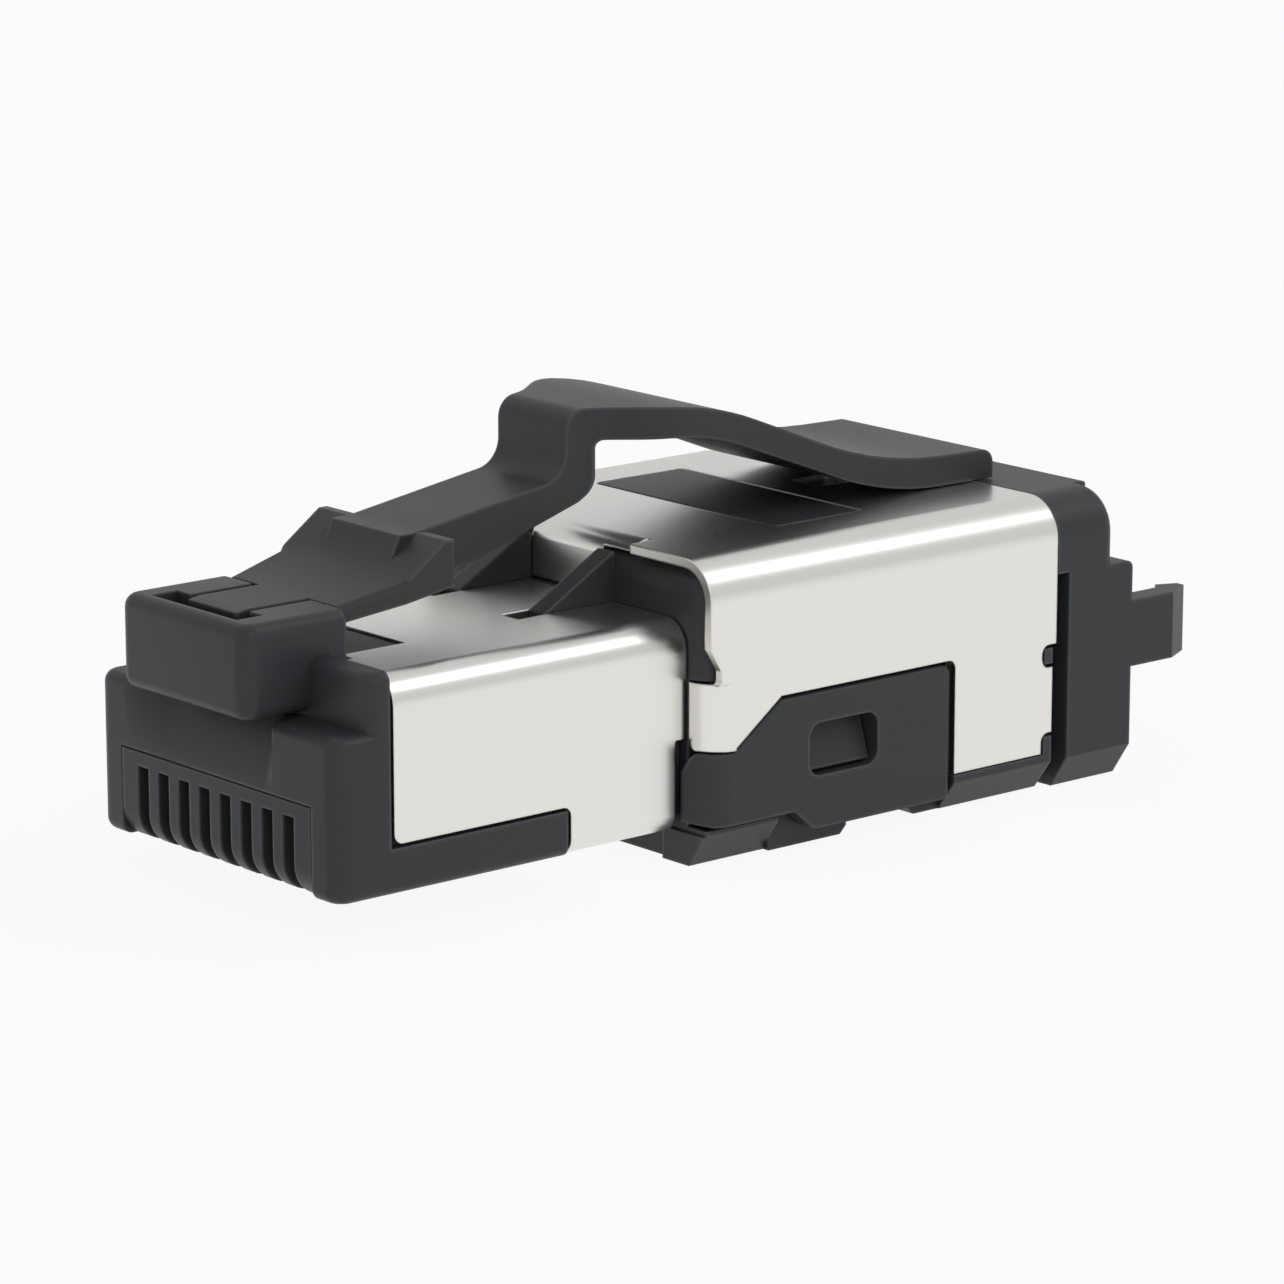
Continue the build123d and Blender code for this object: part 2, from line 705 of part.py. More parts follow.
# Main housing: the rear body with the gussets, the window's panel, the catch teeth and the feet
with BuildPart() as main_housing:
    upper = tube_section(main_front, rear_inner_width, setback_top, rear_inner_top, rear_corner - inset)
    extrude(upper, amount=main_rear - main_front)
    fillet(main_housing.edges().filter_by(Axis.Z).group_by(Axis.X)[0], main_corner)
    with BuildSketch(plan_plane(body_low)) as lower_plan:
        with Locations(((corner_back + main_rear) / 2, 0)):
            Rectangle(main_rear - corner_back, rear_inner_width)
        fillet(lower_plan.vertices().group_by(Axis.X)[0], main_corner)
    extrude(amount=setback_top - body_low)
    span_box(main_front, corner_back, 2 * (cover_tip - seat), body_low, setback_top)
    # recess in both sides for the snap cover
    for side in (-1, 1):
        with BuildSketch(side_plane(side * (cover_inner - seat))):
            with BuildLine():
                Polyline(
                    (main_front, body_low),
                    (main_front, cover_step + seat),
                    (cover_knee, cover_step + seat),
                    (cover_shoulder, cover_top + slip),
                    (cover_rear + slip, cover_top + slip),
                    (cover_rear + slip, body_low),
                    close=True,
                )
            make_face()
        extrude(amount=-side * wall, mode=Mode.SUBTRACT)
    add(feet.part)
    # teeth that hold the cover by its windows
    for side in (-1, 1):
        with BuildSketch(end_plane(catch_front + slip)):
            with BuildLine():
                Polyline(
                    (side * (cover_inner - 2 * seat), catch_high - slip),
                    (side * (cover_inner - seat), catch_high - slip),
                    (side * (cover_inner - seat + tooth_height), catch_low + slip),
                    (side * (cover_inner - 2 * seat), catch_low + slip),
                    close=True,
                )
            make_face()
        extrude(amount=catch_length - 2 * slip)
        # nubs in the notches of the screen's rear edge
        for low, high in ((tab_low + slip, tab_high), (screen_low_edge - seat, low_tab_high)):
            span_box(
                rear_end - tab_depth + slip,
                main_rear,
                inset,
                low,
                high - slip,
                y=side * (rear_inner_width + inset) / 2,
            )
        # gussets beside the lever
        with BuildSketch(side_plane(side * gusset_middle)):
            with BuildLine():
                Polyline(
                    (gusset_front, gusset_foot),
                    (gusset_front, nose_height),
                    (main_front, gusset_top),
                    (main_front + seat, gusset_top),
                    (main_front + seat, gusset_foot),
                    close=True,
                )
            make_face()
        extrude(amount=gusset_thickness / 2, both=True)
    # panel and lug in the openings of the screen's top
    span_box(
        window_front + slip,
        window_rear - slip,
        window_width - 2 * slip,
        rear_inner_top,
        rear_top,
    )
    span_box(slot_front + slip, slot_end - slip, slot_across - 2 * slip, rear_inner_top, rear_top - lug_drop)
    # recess for the lip and the flap
    flap_back = flap_x + sheet + seat
    bend_low = rear_top - bend_radius - seat
    span_box(main_front, flap_back, flap_width + 2 * seat, flap_foot - seat, rear_inner_top, mode=Mode.SUBTRACT)
    span_box(
        main_front, flap_x + bend_radius, flap_width + 2 * seat, bend_low, rear_inner_top, mode=Mode.SUBTRACT
    )
    span_box(
        main_front,
        flap_x + bend_radius,
        lip_width + 2 * seat,
        lip_foot - seat,
        rear_inner_top,
        mode=Mode.SUBTRACT,
    )
    # chamber for the termination, and the opening for the board
    span_box(chamber_front, main_rear, chamber_width, chamber_low, chamber_high, mode=Mode.SUBTRACT)
    span_box(
        main_front,
        chamber_front,
        board_width + 2 * seat,
        board_low - seat,
        board_high + seat,
        mode=Mode.SUBTRACT,
    )
save(main_housing.part, "main_housing")

# Snap cover: two wings wrapped round the front corners, joined by a web under the body
with BuildPart() as snap_cover:
    with BuildSketch(plan_plane(cover_bottom)) as ring:
        with Locations(((cover_front + cover_rear) / 2, 0)):
            Rectangle(cover_length, rear_width)
        fillet(ring.vertices().group_by(Axis.X)[0], cover_radius)
    extrude(amount=cover_top - cover_bottom)
    with BuildSketch(plan_plane(cover_bottom)) as hollow:
        with Locations(((cover_front + wall + cover_rear) / 2, 0)):
            Rectangle(cover_length - wall, 2 * cover_inner)
        fillet(hollow.vertices().group_by(Axis.X)[0], cover_radius - wall)
    extrude(amount=cover_top - cover_bottom, mode=Mode.SUBTRACT)
    span_box(cover_front, cover_rear, 2 * cover_tip, cover_bottom, cover_top, mode=Mode.SUBTRACT)
    with BuildSketch(side_plane()) as outline:
        with BuildLine():
            Polyline(
                (cover_front, cover_lift + slip),
                (cover_front, cover_step),
                (cover_knee, cover_step),
                (cover_shoulder, cover_top),
                (cover_rear, cover_top),
                (cover_rear, cover_bottom),
                (cover_deep, cover_bottom),
                (cover_lift_end, cover_lift),
                (cover_front + ear_radius / 2, cover_lift),
                close=True,
            )
        make_face()
        fillet(outline.vertices().group_by(Axis.Y)[-1].sort_by(Axis.X)[-1], notch_radius)
    extrude(amount=rear_width, both=True, mode=Mode.INTERSECT)
    # the wrapped ends are slanted at the top
    for side in (-1, 1):
        with BuildSketch(end_plane(cover_front)):
            with BuildLine():
                Polyline(
                    (side * cover_tip, cover_step - cover_tip_cut),
                    (side * cover_tip, cover_step),
                    (side * (cover_tip + cover_tip_run), cover_step),
                    close=True,
                )
            make_face()
        extrude(amount=wall, mode=Mode.SUBTRACT)
    wing_edges = snap_cover.edges().filter_by(
        lambda e: abs(abs(e.center().Y) - rear_width / 2) < 0.01
        and e.center().Z > underside + cover_lift + 0.01
    )
    fillet(wing_edges, cover_edge)
    with BuildSketch(side_plane()):
        with Locations(((catch_front + catch_rear) / 2, (catch_low + catch_high) / 2)):
            RectangleRounded(catch_length, catch_high - catch_low, catch_radius)
    extrude(amount=rear_width, both=True, mode=Mode.SUBTRACT)
    span_box(web_front, web_front + web_length, 2 * cover_inner, cover_bottom, cover_bottom + web_thickness)
save(snap_cover.part, "snap_cover")

# Latch lever: profile from the side, cut to the outline seen from above
with BuildPart() as latch_lever:
    with BuildSketch(side_plane()) as profile:
        arm_front = arch_rear
        arm_rear_top = lever_rear - tail_length
        arm_rear_under = lever_rear - tail_foot_length
        leg_low = rear_top + leg_low_rise
        leg_corner = rear_top + leg_corner_rise
        with BuildLine():
            Polyline(
                (wing_rear, wing_low),
                (arm_bend, block_top + arm_bend_rise),
                (leg_rear, leg_low),
                (leg_rear, arch_under),
                (arm_front, arch_under),
                (arm_rear_under, tail_foot),
                (lever_rear, tail_foot),
                (lever_rear, pad_top - pad_fall),
                (arm_rear_top, pad_top),
                (arm_front, arch_top),
                (leg_front, arch_top),
                (leg_front, leg_corner),
                (wing_crest, wing_top),
                (ramp_crest, wing_top),
                (ramp_front, wing_low),
                close=True,
            )
        make_face()
        for corner, radius in (
            ((leg_rear, leg_low), leg_low_radius),
            ((leg_rear, arch_under), leg_inner_radius),
            ((leg_front, arch_top), leg_top_radius),
            ((leg_front, leg_corner), leg_corner_radius),
            ((arm_front, arch_under), arch_under_radius),
            ((arm_rear_under, tail_foot), pad_under_radius),
            ((arm_rear_top, pad_top), pad_radius),
            ((arm_front, arch_top), arch_radius),
            ((lever_rear, pad_top - pad_fall), tail_radius),
        ):
            fillet(profile.vertices().sort_by_distance(corner)[0], radius)
    extrude(amount=pad_width / 2, both=True)
    with BuildSketch(plan_plane(wing_low)):
        with BuildLine():
            Polyline((ramp_front, 0), (ramp_front, lever_width / 2), (flare_front, lever_width / 2))
            Spline(
                (flare_front, lever_width / 2),
                (flare_rear, pad_width_front / 2),
                tangents=[(1, 0.3), (1, 0.1)],
            )
            Polyline(
                (flare_rear, pad_width_front / 2), (lever_rear, pad_width / 2), (lever_rear, 0), (ramp_front, 0)
            )
        make_face()
        mirror(about=Plane.XZ)
    extrude(amount=arch_top - wing_low, mode=Mode.INTERSECT)
    # wide root in front with the wings on it
    with BuildSketch(side_plane()):
        with BuildLine():
            Polyline(
                (root_front, block_top - root_thickness),
                (root_front, block_top),
                (wing_front, block_top + root_rise),
                (wing_crest, wing_top),
                (wing_rear, wing_top),
                (wing_rear, wing_low),
                close=True,
            )
        make_face()
    extrude(amount=wing_width / 2, both=True)
    # the root is a little narrower towards the block, with rounded edges
    for side in (-1, 1):
        with BuildSketch(plan_plane(block_top - root_thickness)):
            with BuildLine():
                Polyline(
                    (root_front, side * root_width_front / 2),
                    (root_front, side * wing_width / 2),
                    (wing_front, side * wing_width / 2),
                    close=True,
                )
            make_face()
        extrude(amount=root_thickness + wing_height, mode=Mode.SUBTRACT)
    root_edges = latch_lever.edges().filter_by(
        lambda e: root_front + 0.01 < e.center().X < wing_front - 0.01
        and abs(e.center().Y) > lever_width / 2
        and e.center().Z > underside + block_top - 0.01
    )
    fillet(root_edges, root_edge)
    # tongue in the block's channel, turned down to the cross bar in the pit
    with BuildSketch(side_plane()):
        with BuildLine():
            Polyline(
                (root_front + seat, block_top - root_thickness),
                (root_front + seat, block_top),
                (tongue_front + tongue_bevel_length, block_top),
                (tongue_front, block_top - tongue_bevel),
                (tongue_front, bar_low),
                (tongue_front + tongue_leg, bar_low),
                (tongue_front + tongue_leg, block_top - root_thickness),
                close=True,
            )
        make_face()
    extrude(amount=tongue_width / 2, both=True)
    span_box(bar_front, bar_rear, bar_width, bar_low, bar_low + bar_height)
save(latch_lever.part, "latch_lever")

# Rear cap: closes the chamber and holds the cable
with BuildPart() as rear_cap:
    crown = tube_section(cap_top_front, rear_width, cap_step, rear_top, cap_corner)
    extrude(crown, amount=cap_top_length)
    crown_rear = rear_cap.edges().filter_by(
        lambda e: abs(e.center().X - cap_top_rear) < 0.01 and e.center().Z > underside + cap_step + 0.01
    )
    fillet(crown_rear, cap_edge)
    span_box(
        cap_top_rear - 2 * cap_edge, cap_top_rear + lip_reach, ledge_width, rear_top - lip_drop, rear_top
    )
    lip_edge = rear_cap.edges().filter_by(Axis.Y).group_by(Axis.X)[-1].sort_by(Axis.Z)[-1]
    fillet(lip_edge, ledge_edge)
    extrude(foot_section(cap_front, rear_width, cap_step, foot_lean), amount=cap_length)
    step_rear = rear_cap.edges().filter_by(Axis.Y).group_by(Axis.X)[-1].sort_by(Axis.Z)[-1]
    fillet(step_rear, step_edge)
    # collar inside the chamber
    span_box(collar_front, cap_front, chamber_width - 2 * seat, chamber_low + seat, chamber_high - seat)
    # holes for the cable and its pairs
    hole_along(seal_front, cap_rear, cable_hole, 0, cable_height)
    hole_along(collar_front, seal_front, pair_hole, 0, cable_height)
    # arms with a barb on the inner side
    for side in (-1, 1):
        outer_y = side * rear_width / 2
        inner_y = side * (rear_width / 2 - arm_thickness)
        with BuildSketch(plan_plane(arm_low)):
            with BuildLine():
                Polyline(
                    (cap_top_rear, outer_y),
                    (arm_rear - arm_taper_length, outer_y),
                    (arm_rear, outer_y - side * arm_taper),
                    (arm_rear, inner_y),
                    (arm_rear - hook_start + hook_reach, inner_y - side * hook_reach),
                    (arm_rear - hook_start, inner_y),
                    (cap_top_rear, inner_y),
                    close=True,
                )
            make_face()
        extrude(amount=arm_high - arm_low)
save(rear_cap.part, "rear_cap")

# Circuit board from the contacts to the wire terminals
with BuildPart() as circuit_board:
    span_box(board_front, board_rear, board_width, board_low, board_high)
save(circuit_board.part, "circuit_board")

# Terminal block on the end of the board
with BuildPart() as terminal_block:
    span_box(block_start, block_end, chamber_width - 2 * seat, chamber_low + seat, chamber_high - seat)
    span_box(
        block_start,
        board_rear + seat,
        board_width + 2 * seat,
        board_low - seat,
        board_high + seat,
        mode=Mode.SUBTRACT,
    )
    for place, row in terminal_places:
        plate_low = board_middle + row * row_offset - terminal_thickness / 2 - seat
        plate_high = board_middle + row * row_offset + terminal_thickness / 2 + seat
        span_box(
            terminal_leg - seat,
            block_end,
            terminal_width + 2 * seat,
            min(plate_low, board_high),
            max(plate_high, board_low),
            y=place * terminal_pitch,
            mode=Mode.SUBTRACT,
        )
save(terminal_block.part, "terminal_block")

# Eight forked terminals: a level fork open to the rear, and a leg on the board
for number, (place, row) in enumerate(terminal_places, start=1):
    with BuildPart() as terminal:
        board_face = board_middle + row * board_thickness / 2
        near_side = board_middle + row * (row_offset - terminal_thickness / 2)
        far_side = board_middle + row * (row_offset + terminal_thickness / 2)
        with BuildSketch(side_plane(place * terminal_pitch)):
            with BuildLine():
                Polyline(
                    (terminal_leg, board_face),
                    (terminal_leg, far_side),
                    (terminal_rear, far_side),
                    (terminal_rear, near_side),
                    (terminal_leg + terminal_thickness, near_side),
                    (terminal_leg + terminal_thickness, board_face),
                    close=True,
                )
            make_face()
        extrude(amount=terminal_width / 2, both=True)
        span_box(
            terminal_rear - fork_depth,
            terminal_rear,
            fork_slot,
            min(near_side, far_side),
            max(near_side, far_side),
            y=place * terminal_pitch,
            mode=Mode.SUBTRACT,
        )
        tips = terminal.edges().filter_by(Axis.Z).group_by(Axis.X)[-1]
        chamfer(tips, fork_slot / 2)
    save(terminal.part, f"terminal_{number}")

# Wire organiser: eight channels that turn across the forks
with BuildPart() as wire_organiser:
    span_box(organiser_front, organiser_rear, chamber_width - 2 * seat, chamber_low + seat, chamber_high - seat)
    span_box(pocket_front, organiser_rear, pocket_width, pocket_low, pocket_high, mode=Mode.SUBTRACT)
    for place, row in terminal_places:
        y = place * terminal_pitch
        height = board_middle + row * row_offset
        span_box(
            organiser_front,
            terminal_rear + slip,
            terminal_width + 2 * slip,
            height - terminal_thickness / 2 - slip,
            height + terminal_thickness / 2 + slip,
            y=y,
            mode=Mode.SUBTRACT,
        )
        hole_along(wire_cross, pocket_front, wire_radius, y, height)
        with BuildSketch(plan_plane(height)):
            with Locations((wire_cross, y)):
                Circle(wire_radius)
        extrude(amount=row * (chamber_high - board_middle), mode=Mode.SUBTRACT)
save(wire_organiser.part, "wire_organiser")

# Cross that keeps the four pairs apart
with BuildPart() as pair_divider:
    divider_front = pocket_front + seat
    divider_rear = organiser_rear - seat
    middle = (pocket_low + pocket_high) / 2
    span_box(divider_front, divider_rear, divider_thickness, pocket_low + seat, pocket_high - seat)
    span_box(
        divider_front,
        divider_rear,
        pocket_width - 2 * seat,
        middle - divider_thickness / 2,
        middle + divider_thickness / 2,
    )
save(pair_divider.part, "pair_divider")

# Sprung ring that touches the cable's braid
with BuildPart() as screen_ring:
    hole_along(collar_front, seal_front, pair_hole - seat, 0, cable_height, mode=Mode.ADD)
    hole_along(collar_front, seal_front, pair_hole - seat - braid_wall, 0, cable_height)
    span_box(
        collar_front, seal_front, 2 * braid_wall, cable_height, cable_height + pair_hole, mode=Mode.SUBTRACT
    )
save(screen_ring.part, "screen_ring")

# Soft ring round the cable's jacket
with BuildPart() as sealing_ring:
    hole_along(seal_front + seat, seal_front + ring_length, cable_hole - seat, 0, cable_height, mode=Mode.ADD)
    hole_along(seal_front + seat, seal_front + ring_length, cable_bore, 0, cable_height)
save(sealing_ring.part, "sealing_ring")
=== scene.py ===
# %% [markdown] # A network plug in a plain studio  This lesson dresses a packed mechanical model
# of a shielded network plug for a product picture. The solids are finished already, so the work
# is light, camera and surface, and three pieces whose shape is refined. Read each note, run the
# cell below it, and check what it prints before going on. They are measured straight away,
# because the dressed model has to keep their size.

# %% Load the frame
import math

import bmesh
import bpy
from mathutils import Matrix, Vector


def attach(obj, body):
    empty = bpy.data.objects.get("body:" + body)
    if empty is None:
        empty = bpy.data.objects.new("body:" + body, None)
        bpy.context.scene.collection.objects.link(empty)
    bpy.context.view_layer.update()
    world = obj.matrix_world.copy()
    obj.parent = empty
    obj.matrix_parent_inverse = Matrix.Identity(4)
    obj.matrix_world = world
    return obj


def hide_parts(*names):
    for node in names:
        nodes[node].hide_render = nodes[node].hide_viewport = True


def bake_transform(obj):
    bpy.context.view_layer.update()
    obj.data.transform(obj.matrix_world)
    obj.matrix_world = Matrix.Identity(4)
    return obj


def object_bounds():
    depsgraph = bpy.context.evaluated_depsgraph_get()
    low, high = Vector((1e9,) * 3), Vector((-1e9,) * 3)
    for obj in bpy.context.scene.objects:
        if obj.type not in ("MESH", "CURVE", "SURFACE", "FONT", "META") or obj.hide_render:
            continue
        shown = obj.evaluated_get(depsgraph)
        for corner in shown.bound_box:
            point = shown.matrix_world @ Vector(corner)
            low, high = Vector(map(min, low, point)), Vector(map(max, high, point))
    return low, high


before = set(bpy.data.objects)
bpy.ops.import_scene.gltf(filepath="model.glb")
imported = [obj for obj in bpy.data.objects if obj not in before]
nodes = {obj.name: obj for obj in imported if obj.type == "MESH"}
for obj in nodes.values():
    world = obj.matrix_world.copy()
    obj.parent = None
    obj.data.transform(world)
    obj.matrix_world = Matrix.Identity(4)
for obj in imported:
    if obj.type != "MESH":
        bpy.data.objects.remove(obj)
cad_low, cad_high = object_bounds()
MM = 0.001


def in_mm(vector):
    """The parts of a vector in mm, rounded to read easily."""
    return [round(part / MM, 2) for part in vector]


print("nodes:", len(nodes), "box in mm:", in_mm(cad_high - cad_low))

# %% [markdown]
# ## The camera
#
# The picture shows the plug from its front left corner and from a little above. A camera could
# be turned by hand until it looks right, but some sizes of the plug are standard, so its place
# and its lens were fitted to them. It stands about 158 mm away, and nothing is shifted or tilted.

# %% Place the camera
CAMERA_TURN = math.radians(-40.3181)
CAMERA_RISE = math.radians(13.384)
CAMERA_MM = (-88.685, -123.623, 39.589)
FOCAL_PX = 5425.76
FRAME_PX = 1284
SENSOR_MM = 36
NEAREST_M = 0.01
FARTHEST_M = 10


def add_object(name, data):
    """A new object that shows the data, linked to the scene."""
    made = bpy.data.objects.new(name, data)
    bpy.context.collection.objects.link(made)
    return made


def look_along(thing, place_mm, direction):
    """Put a camera or a lamp at its place and turn it to look in one direction."""
    thing.location = Vector(place_mm) * MM
    thing.rotation_mode = "QUATERNION"
    thing.rotation_quaternion = direction.to_track_quat("-Z", "Y")


camera_data = bpy.data.cameras.new("studio_camera")
camera_data.sensor_width = SENSOR_MM
camera_data.lens = FOCAL_PX / FRAME_PX * SENSOR_MM
camera_data.clip_start = NEAREST_M
camera_data.clip_end = FARTHEST_M
camera = add_object("studio_camera", camera_data)
level_part = math.cos(CAMERA_RISE)
right = -math.sin(CAMERA_TURN) * level_part
forward = math.cos(CAMERA_TURN) * level_part
ahead = Vector((right, forward, -math.sin(CAMERA_RISE)))
look_along(camera, CAMERA_MM, ahead)
bpy.context.scene.camera = camera
bpy.context.scene.view_settings.view_transform = "Standard"
print("lens in mm:", round(camera_data.lens, 1))

# %% [markdown]
# ## Writing shaders as sums
#
# A finish could be built by adding nodes and wires one at a time, but it reads better as
# arithmetic. `Signal` wraps one output socket, so `0.4 + 0.1 * grain` adds its Math nodes by
# itself. `Finish` owns one node tree. Its `node` method makes any other node: the settings go in
# first, then the values or links of its sockets. Colours and vectors go through Mix and Vector
# Math, because a Math node would turn them grey.

# %% The Signal class
class Signal:
    """One output socket; sums, differences and products of signals become Math nodes."""

    def __init__(self, finish, socket):
        self.finish = finish
        self.socket = socket

    def math(self, operation, first, second):
        return self.finish.node("ShaderNodeMath", {"operation": operation}, {0: first, 1: second})

    def __add__(self, other):
        return self.math("ADD", self, other)

    def __radd__(self, other):
        return self.math("ADD", other, self)

    def __sub__(self, other):
        return self.math("SUBTRACT", self, other)

    def __rsub__(self, other):
        return self.math("SUBTRACT", other, self)

    def __mul__(self, other):
        return self.math("MULTIPLY", self, other)

    def __rmul__(self, other):
        return self.math("MULTIPLY", other, self)


print("reflected operators:", [name for name in vars(Signal) if name.startswith("__r")])

# %% The Finish class
EDGE_RAYS = 8


class Finish:
    """One node tree, of a new material or of the world."""

    def __init__(self, name, owner=None):
        self.owner = owner or bpy.data.materials.new(name)
        self.owner.use_nodes = True
        self.tree = self.owner.node_tree
        self.tree.nodes.clear()

    def node(self, kind, settings=None, sockets=None, output=0):
        """Make one node and give back its output, where it has one."""
        made = self.tree.nodes.new(kind)
        for key, value in (settings or {}).items():
            setattr(made, key, value)
        for key, value in (sockets or {}).items():
            if isinstance(value, Signal):
                self.tree.links.new(value.socket, made.inputs[key])
            else:
                made.inputs[key].default_value = value
        return Signal(self, made.outputs[output]) if made.outputs else None

    def vector(self, operation, first, second):
        return self.node("ShaderNodeVectorMath", {"operation": operation}, {0: first, 1: second})

    def noise(self, size_mm, detail=2, stretch=(1, 1, 1)):
        """Soft noise from 0 to 1 with marks of about size_mm, drawn out along one axis at will."""
        place = self.node("ShaderNodeTexCoord", output="Object")
        sockets = {
            "Vector": self.vector("MULTIPLY", place, stretch),
            "Scale": 1 / (size_mm * MM),
            "Detail": detail,
        }
        return self.node("ShaderNodeTexNoise", sockets=sockets)

    def blend(self, factor, first, second):
        """A colour that goes from first to second."""
        sockets = {"Factor": factor, "A": first, "B": second}
        return self.node("ShaderNodeMix", {"data_type": "RGBA"}, sockets, output="Result")

    def rounded(self, radius_mm):
        """A normal that rolls over the piece's edges and corners."""
        return self.node("ShaderNodeBevel", {"samples": EDGE_RAYS}, {"Radius": radius_mm * MM})

    def bump(self, height, depth_mm, normal):
        """The normal, tilted by marks that are depth_mm high."""
        sockets = {"Height": height, "Distance": depth_mm * MM, "Normal": normal}
        return self.node("ShaderNodeBump", sockets=sockets)

    def ray(self, kind):
        """1 for light rays of one kind and 0 for all others."""
        return self.node("ShaderNodeLightPath", output=f"Is {kind} Ray")

    def output(self, shader, kind="ShaderNodeOutputMaterial"):
        """End the tree in a shader and give back its material or world."""
        self.node(kind, sockets={"Surface": shader})
        return self.owner

    def surface(self, sockets):
        """End the tree in a Principled shader and give back the material."""
        return self.output(self.node("ShaderNodeBsdfPrincipled", sockets=sockets))


print("methods of a finish:", [name for name in vars(Finish) if not name.startswith("_")])

# %% [markdown]
# ## Anthracite plastic
#
# The housings, the lever and the cap are moulded from glass-filled plastic, dark grey with a
# trace of blue. Such a moulding is satin with a very fine skin, and its corners are never quite
# sharp, so each outer edge carries a thin line of light. Real fillets on every edge would cost
# many faces, and the Bevel node rolls the normal over the edges without any. Used alone it would
# also soften the inner corners. So rays are first sent into the piece: near an outer edge they
# soon meet the next face, which doesn't happen at an inner corner. The same rays also paint the
# base colour lighter along the outer edges, a painted highlight for that line of light.

# %% Find and round the outer edges
EDGE_RISE = 5.0


def outer_edges(finish, reach_mm):
    """About a half along the outer edges of a piece, fading to 0 within reach_mm."""
    settings = {"inside": True, "only_local": True, "samples": EDGE_RAYS}
    sockets = {"Distance": reach_mm * MM}
    return 1 - finish.node("ShaderNodeAmbientOcclusion", settings, sockets, output="AO")


def rolled_normal(finish, edges, radius_mm):
    """The normal of the surface, rolled over the outer edges and left alone in the corners."""
    flat = finish.node("ShaderNodeNewGeometry", output="Normal")
    rolled = finish.rounded(radius_mm)
    clamped = {"operation": "MULTIPLY", "use_clamp": True}
    share = finish.node("ShaderNodeMath", clamped, {0: edges, 1: EDGE_RISE})
    turn = finish.vector("SUBTRACT", rolled, flat)
    part = finish.node("ShaderNodeVectorMath", {"operation": "SCALE"}, {0: turn, "Scale": share})
    mixed = finish.vector("ADD", flat, part)
    return finish.node("ShaderNodeVectorMath", {"operation": "NORMALIZE"}, {0: mixed})


print("rays for each look at an edge:", EDGE_RAYS)

# %% Moulded plastic
DARK = (0.0375, 0.0392, 0.0440, 1)
# paler tone that the cloud drifts towards, and the colour of the painted highlight on outer edges
PALE_TONE_AND_EDGE_HIGHLIGHT = (0.105, 0.109, 0.118, 1)
PLASTIC_ROUGHNESS = 0.39
PLASTIC_SHEEN = 0.3
PLASTIC_EDGE_MM = 0.11
SKIN_MM = 0.12
SKIN_DETAIL = 3
SKIN_DEPTH_MM = 0.0015
SKIN_ROUGHENS = 0.03
CLOUD_MM = 5
CLOUD_LIGHTENS = 0.06
CLOUD_ROUGHENS = 0.05
# how strongly the outer edges are painted lighter: a painted highlight
EDGE_HIGHLIGHT_PAINTED = 1.5
EDGE_POLISHES = 0.08


def moulded_plastic(name):
    finish = Finish(name)
    skin = finish.noise(SKIN_MM, SKIN_DETAIL)
    cloud = finish.noise(CLOUD_MM)
    edges = outer_edges(finish, PLASTIC_EDGE_MM)
    tone = finish.blend(CLOUD_LIGHTENS * cloud, DARK, PALE_TONE_AND_EDGE_HIGHLIGHT)
    grain = CLOUD_ROUGHENS * cloud + SKIN_ROUGHENS * skin
    sockets = {
        # painted highlight: the base colour turns lighter along the outer edges
        "Base Color": finish.blend(EDGE_HIGHLIGHT_PAINTED * edges, tone, PALE_TONE_AND_EDGE_HIGHLIGHT),
        "Roughness": PLASTIC_ROUGHNESS + grain - EDGE_POLISHES * edges,
        "Specular IOR Level": PLASTIC_SHEEN,
        "Normal": finish.bump(skin, SKIN_DEPTH_MM, rolled_normal(finish, edges, PLASTIC_EDGE_MM)),
    }
    return finish.surface(sockets)


def dress(node_name, material):
    """Put one material in the slot of a node."""
    slots = nodes[node_name].data.materials
    slots.clear()
    slots.append(material)


plastic_nodes = ("main_housing", "snap_cover", "rear_cap")
for node_name in plastic_nodes:
    dress(node_name, moulded_plastic(node_name + "_plastic"))
print("dark mouldings:", len(plastic_nodes))

# %% [markdown]
# ## Nickel-plated sheet
#
# Both screens are folded from thin steel with a satin nickel plating. Rolling the strip leaves
# faint marks along the plug, so the noise is drawn out along X. Strong brush marks would be easy
# to make, but the plating hides most of them, and each fold should read as one clean, soft band
# of light. So the marks are kept very weak.

# %% Plated sheet
SHEET = (0.80, 0.79, 0.757, 1)
SHEET_EDGE = (0.70, 0.69, 0.66, 1)
SHEET_ROUGHNESS = 0.26
SHEET_EDGE_MM = 0.09
ROLLING_MM = 0.05
ROLLING_DETAIL = 3
ROLLING_STRETCH = (0.03, 1, 1)
ROLLING_DEPTH_MM = 0.0001
HAZE_MM = 3
MARKS_ROUGHEN = 0.02


def plated_sheet(name):
    finish = Finish(name)
    rolling = finish.noise(ROLLING_MM, ROLLING_DETAIL, ROLLING_STRETCH)
    haze = finish.noise(HAZE_MM)
    edges = outer_edges(finish, SHEET_EDGE_MM)
    rolled = rolled_normal(finish, edges, SHEET_EDGE_MM)
    sockets = {
        "Base Color": finish.blend(edges, SHEET, SHEET_EDGE),
        "Metallic": 1.0,
        "Roughness": SHEET_ROUGHNESS + MARKS_ROUGHEN * haze + MARKS_ROUGHEN * rolling,
        "Normal": finish.bump(rolling, ROLLING_DEPTH_MM, rolled),
    }
    return finish.surface(sockets)


screen_nodes = ("front_screen", "rear_screen")
for node_name in screen_nodes:
    dress(node_name, plated_sheet(node_name + "_sheet"))
print("screens:", len(screen_nodes))

# %% [markdown]
# ## The latch lever
#
# The lever is one sprung moulding that bends along its whole arm when it is pressed. Turned as a
# stiff piece, it would push its tail through the rear screen. So a copy of its mesh is welded
# and cut across many times, which gives it something to bend with.

# %% Copy a node's mesh
WELD_MM = 0.0005
SHARP = math.radians(30)


